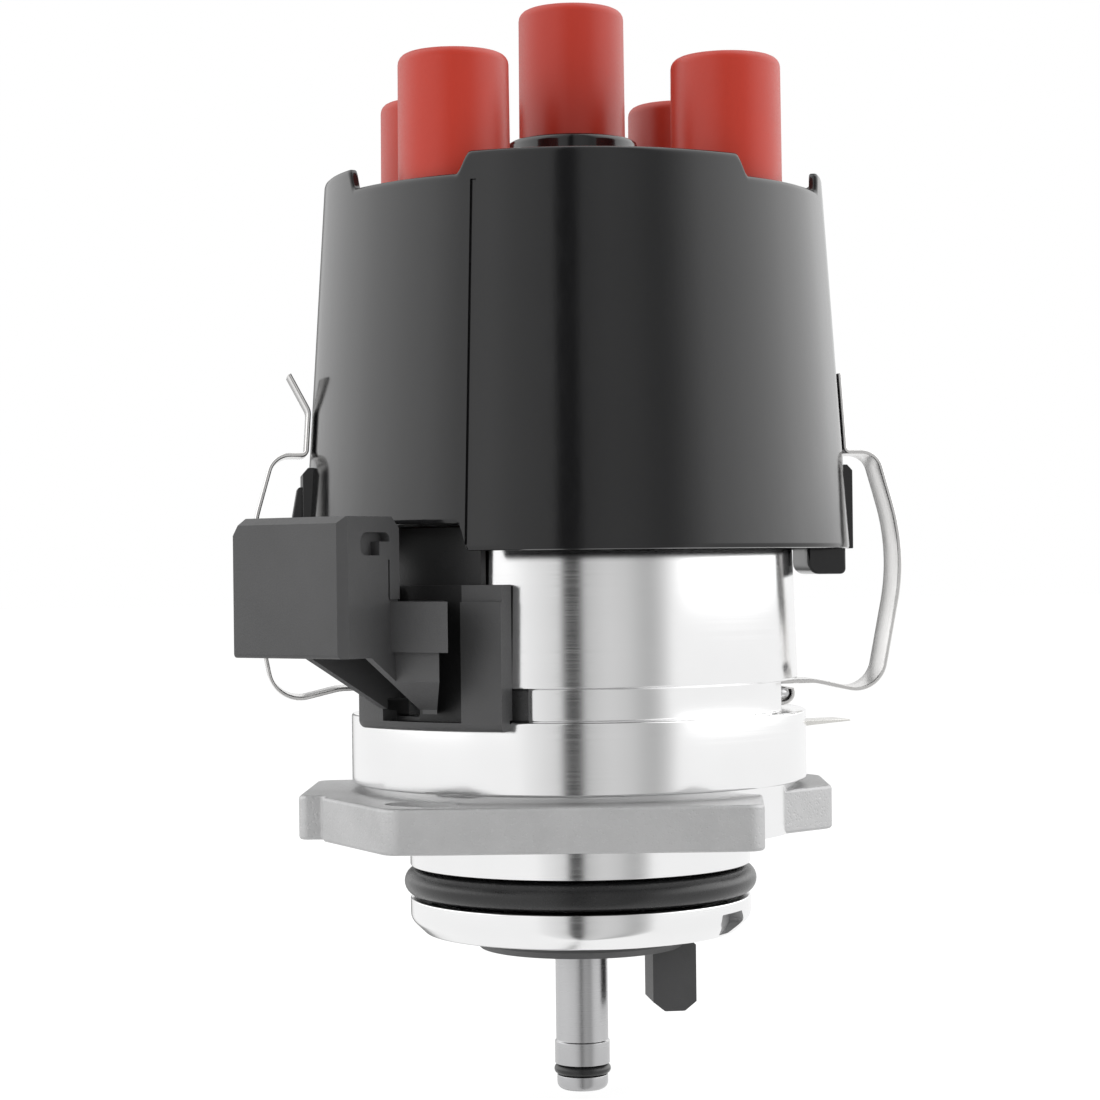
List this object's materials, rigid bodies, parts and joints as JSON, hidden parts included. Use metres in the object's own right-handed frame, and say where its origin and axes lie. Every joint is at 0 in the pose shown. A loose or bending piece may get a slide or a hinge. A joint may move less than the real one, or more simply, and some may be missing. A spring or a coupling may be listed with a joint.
{
  "type": "ignition distributor",
  "caption": "Screened ignition distributor with cap towers, spring clips, side sender plug, slotted flange, sealed pilot and offset lug drive.",
  "frame": {"origin": "on the shaft axis in the plane of the flange's underside, which is its seat", "axes": "+Z along the shaft axis towards the cap's towers, -Y towards the camera's side, +X to its right"},
  "size_m": [0.1027, 0.0834, 0.1655],
  "materials": {
    "machined_aluminium": "turned barrel above an as-cast flange",
    "seal_rubber": "soft satin",
    "bearing_bronze": "sintered",
    "ground_steel": "ground",
    "spring_steel": "rolled strip, bright",
    "black_moulding": "fine eroded",
    "grey_moulding": "satin",
    "red_moulding": "satin gloss",
    "rotor_moulding": "satin",
    "shield_black": "gloss lacquered",
    "contact_brass": "drawn",
    "tinned_blade": "tinned",
    "brush_carbon": "matt carbon",
    "magnet_ferrite": "matt",
    "resistor_ceramic": "glazed"
  },
  "bodies": {
    "distributor_body": {"housing": "machined_aluminium", "pilot_seal": "seal_rubber", "lower_bush": "bearing_bronze", "upper_bush": "bearing_bronze", "shaft_seal": "seal_rubber", "sender_plate": "grey_moulding", "plate_screw_front": "ground_steel", "plate_screw_rear": "ground_steel", "hall_sender": "black_moulding", "sender_magnet": "magnet_ferrite", "sender_lead": "black_moulding", "lead_grommet": "seal_rubber", "connector_housing": "black_moulding", "connector_blade_1": "tinned_blade", "connector_blade_2": "tinned_blade", "connector_blade_3": "tinned_blade", "dust_cover": "grey_moulding", "distributor_cap": "red_moulding", "lead_terminal_1": "contact_brass", "lead_terminal_2": "contact_brass", "lead_terminal_3": "contact_brass", "lead_terminal_4": "contact_brass", "centre_terminal": "contact_brass", "brush_spring": "spring_steel", "cap_shield": "shield_black", "left_staple": "ground_steel", "right_staple": "ground_steel", "earth_blade": "ground_steel"},
    "shaft_group": {"drive_shaft": "ground_steel", "shaft_tip_seal": "seal_rubber", "drive_coupling": "black_moulding", "coupling_pin": "ground_steel", "lower_washer": "ground_steel", "upper_washer": "ground_steel", "retaining_ring": "ground_steel", "shutter_wheel": "ground_steel", "rotor_arm": "rotor_moulding", "rotor_resistor": "resistor_ceramic", "rotor_contact": "contact_brass", "rotor_tip": "contact_brass"},
    "left_clip_body": {"left_clip": "spring_steel"},
    "right_clip_body": {"right_clip": "spring_steel"},
    "brush_body": {"carbon_brush": "brush_carbon"}
  },
  "joints": [
    {"name": "shaft_turn", "type": "hinge", "parent": "distributor_body", "child": "shaft_group", "pos_m": [0, 0, 0], "axis": [0, 0, 1], "continuous": true},
    {"name": "left_clip_hinge", "type": "hinge", "parent": "distributor_body", "child": "left_clip_body", "pos_m": [-0.0311, 0, 0.0205], "axis": [0, -1, 0], "range_deg": [0, 48]},
    {"name": "right_clip_hinge", "type": "hinge", "parent": "distributor_body", "child": "right_clip_body", "pos_m": [0.0311, 0, 0.0205], "axis": [0, 1, 0], "range_deg": [0, 48]},
    {"name": "brush_slide", "type": "slide", "parent": "distributor_body", "child": "brush_body", "axis": [0, 0, 1], "range_m": [0, 0.0025], "stiffness_N_per_m": 120, "springref_m": -0.004, "deforming": ["brush_spring"]}
  ]
}
